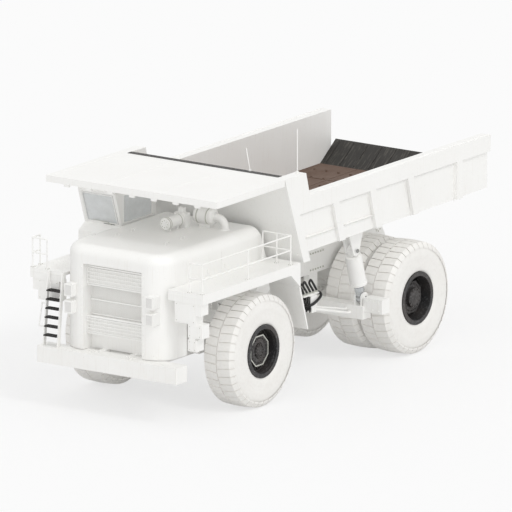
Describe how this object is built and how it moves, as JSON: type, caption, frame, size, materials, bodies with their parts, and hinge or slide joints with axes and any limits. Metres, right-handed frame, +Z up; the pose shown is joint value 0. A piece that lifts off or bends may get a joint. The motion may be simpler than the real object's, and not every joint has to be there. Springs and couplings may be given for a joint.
{
  "type": "mining dump truck",
  "caption": "Rigid mining haul truck with a hinged dump body and roof canopy, steered front wheels and telescopic hoists.",
  "frame": {"origin": "on the ground under the middle of the truck's overall length and width", "axes": "+Z up, the truck faces -Y, its left side is +X"},
  "size_m": [6.4, 15.67, 8.02],
  "materials": {
    "white_paint": "satin enamel",
    "cast_metal": "cast, grey primer",
    "tyre_rubber": "dusty moulded rubber",
    "dark_rim": "dark enamel",
    "window_glass": "clear",
    "black_steel": "black enamel",
    "seat_cloth": "woven",
    "cab_plastic": "grained",
    "hose_rubber": "smooth",
    "rusty_floor": "worn brown steel",
    "dark_plate": "scoured dark steel",
    "chrome_rod": "polished"
  },
  "bodies": {
    "chassis": {"strut_towers": "white_paint", "deck_portal": "white_paint", "hoist_outriggers": "white_paint", "front_bumper": "white_paint", "radiator_housing": "white_paint", "grille": "white_paint", "headlamps": "white_paint", "hood": "white_paint", "deck_left": "white_paint", "deck_right": "white_paint", "handrails": "white_paint", "ladder": "white_paint", "cab_shell": "white_paint", "air_intake": "white_paint", "exhaust_pipe": "white_paint", "fuel_tank": "white_paint", "valve_rack": "white_paint", "frame_rails": "white_paint", "engine_block": "cast_metal", "gearbox": "cast_metal", "rear_axle": "cast_metal", "rear_struts": "cast_metal", "drive_shafts": "cast_metal", "cab_glass": "window_glass", "ladder_treads": "black_steel", "seat_base": "black_steel", "driver_seat": "seat_cloth", "driver_console": "cab_plastic", "hose_loops": "hose_rubber"},
    "dump_body": {"body_floor": "rusty_floor", "tail_lip": "dark_plate", "headboard": "white_paint", "body_sides": "white_paint", "canopy": "white_paint", "aerials": "white_paint", "body_frame": "white_paint"},
    "cab_door": {"cab_door": "white_paint", "door_glass": "window_glass"},
    "tie_rod": {"tie_rod": "cast_metal"},
    "knuckle_left": {"knuckle_left": "cast_metal"},
    "wheel_front_left": {"tyre_front_left": "tyre_rubber", "rim_front_left": "dark_rim"},
    "wheel_rear_left": {"tyres_rear_left": "tyre_rubber", "rims_rear_left": "dark_rim"},
    "hoist_rod_left": {"hoist_rod_left": "chrome_rod"},
    "hoist_inner_stage_left": {"hoist_inner_stage_left": "chrome_rod"},
    "hoist_outer_stage_left": {"hoist_outer_stage_left": "chrome_rod"},
    "hoist_barrel_left": {"hoist_barrel_left": "white_paint"},
    "knuckle_right": {"knuckle_right": "cast_metal"},
    "wheel_front_right": {"tyre_front_right": "tyre_rubber", "rim_front_right": "dark_rim"},
    "wheel_rear_right": {"tyres_rear_right": "tyre_rubber", "rims_rear_right": "dark_rim"},
    "hoist_rod_right": {"hoist_rod_right": "chrome_rod"},
    "hoist_inner_stage_right": {"hoist_inner_stage_right": "chrome_rod"},
    "hoist_outer_stage_right": {"hoist_outer_stage_right": "chrome_rod"},
    "hoist_barrel_right": {"hoist_barrel_right": "white_paint"}
  },
  "joints": [
    {"name": "dump_hinge", "type": "hinge", "parent": "chassis", "child": "dump_body", "pos_m": [0, 5.115, 3.3], "axis": [-1, 0, 0], "range_deg": [0, 45]},
    {"name": "cab_door_hinge", "type": "hinge", "parent": "chassis", "child": "cab_door", "pos_m": [-2.93, -4.715, 5], "axis": [0, 0, 1], "range_deg": [0, 80]},
    {"name": "tie_rod_slide", "type": "slide", "parent": "chassis", "child": "tie_rod", "axis": [-1, 0, 0], "range_m": [-0.362, 0.362]},
    {"name": "steer_left", "type": "hinge", "parent": "chassis", "child": "knuckle_left", "pos_m": [1.65, -4.105, 1.7], "axis": [0, 0, 1], "range_deg": [-30, 30]},
    {"name": "front_wheel_left_spin", "type": "hinge", "parent": "knuckle_left", "child": "wheel_front_left", "pos_m": [2.5, -4.105, 1.7], "axis": [1, 0, 0], "continuous": true},
    {"name": "rear_wheel_left_spin", "type": "hinge", "parent": "chassis", "child": "wheel_rear_left", "pos_m": [1.87, 3.915, 1.7], "axis": [1, 0, 0], "continuous": true},
    {"name": "hoist_swing_left", "type": "hinge", "parent": "chassis", "child": "hoist_rod_left", "pos_m": [2.35, 1.865, 2.05], "axis": [-1, 0, 0], "range_deg": [0, 28.28]},
    {"name": "hoist_inner_stage_slide_left", "type": "slide", "parent": "hoist_rod_left", "child": "hoist_inner_stage_left", "axis": [0, -0.2879, 0.9577], "range_m": [0, 0.8551]},
    {"name": "hoist_outer_stage_slide_left", "type": "slide", "parent": "hoist_inner_stage_left", "child": "hoist_outer_stage_left", "axis": [0, -0.2879, 0.9577], "range_m": [0, 0.8551]},
    {"name": "hoist_barrel_slide_left", "type": "slide", "parent": "hoist_outer_stage_left", "child": "hoist_barrel_left", "axis": [0, -0.2879, 0.9577], "range_m": [0, 0.8551]},
    {"name": "steer_right", "type": "hinge", "parent": "chassis", "child": "knuckle_right", "pos_m": [-1.65, -4.105, 1.7], "axis": [0, 0, 1], "range_deg": [-30, 30]},
    {"name": "front_wheel_right_spin", "type": "hinge", "parent": "knuckle_right", "child": "wheel_front_right", "pos_m": [-2.5, -4.105, 1.7], "axis": [1, 0, 0], "continuous": true},
    {"name": "rear_wheel_right_spin", "type": "hinge", "parent": "chassis", "child": "wheel_rear_right", "pos_m": [-1.87, 3.915, 1.7], "axis": [1, 0, 0], "continuous": true},
    {"name": "hoist_swing_right", "type": "hinge", "parent": "chassis", "child": "hoist_rod_right", "pos_m": [-2.35, 1.865, 2.05], "axis": [-1, 0, 0], "range_deg": [0, 28.28]},
    {"name": "hoist_inner_stage_slide_right", "type": "slide", "parent": "hoist_rod_right", "child": "hoist_inner_stage_right", "axis": [0, -0.2879, 0.9577], "range_m": [0, 0.8551]},
    {"name": "hoist_outer_stage_slide_right", "type": "slide", "parent": "hoist_inner_stage_right", "child": "hoist_outer_stage_right", "axis": [0, -0.2879, 0.9577], "range_m": [0, 0.8551]},
    {"name": "hoist_barrel_slide_right", "type": "slide", "parent": "hoist_outer_stage_right", "child": "hoist_barrel_right", "axis": [0, -0.2879, 0.9577], "range_m": [0, 0.8551]}
  ],
  "couplings": [
    {"joint": "tie_rod_slide", "follows": "steer_left", "m_per_rad": 0.68755},
    {"joint": "steer_right", "follows": "steer_left", "ratio": 1},
    {"joint": "hoist_swing_left", "follows": "dump_hinge", "ratio": 0.6263},
    {"joint": "hoist_inner_stage_slide_left", "follows": "dump_hinge", "m_per_rad": 1.085},
    {"joint": "hoist_outer_stage_slide_left", "follows": "dump_hinge", "m_per_rad": 1.085},
    {"joint": "hoist_barrel_slide_left", "follows": "dump_hinge", "m_per_rad": 1.085},
    {"joint": "hoist_swing_right", "follows": "dump_hinge", "ratio": 0.6263},
    {"joint": "hoist_inner_stage_slide_right", "follows": "dump_hinge", "m_per_rad": 1.085},
    {"joint": "hoist_outer_stage_slide_right", "follows": "dump_hinge", "m_per_rad": 1.085},
    {"joint": "hoist_barrel_slide_right", "follows": "dump_hinge", "m_per_rad": 1.085}
  ]
}
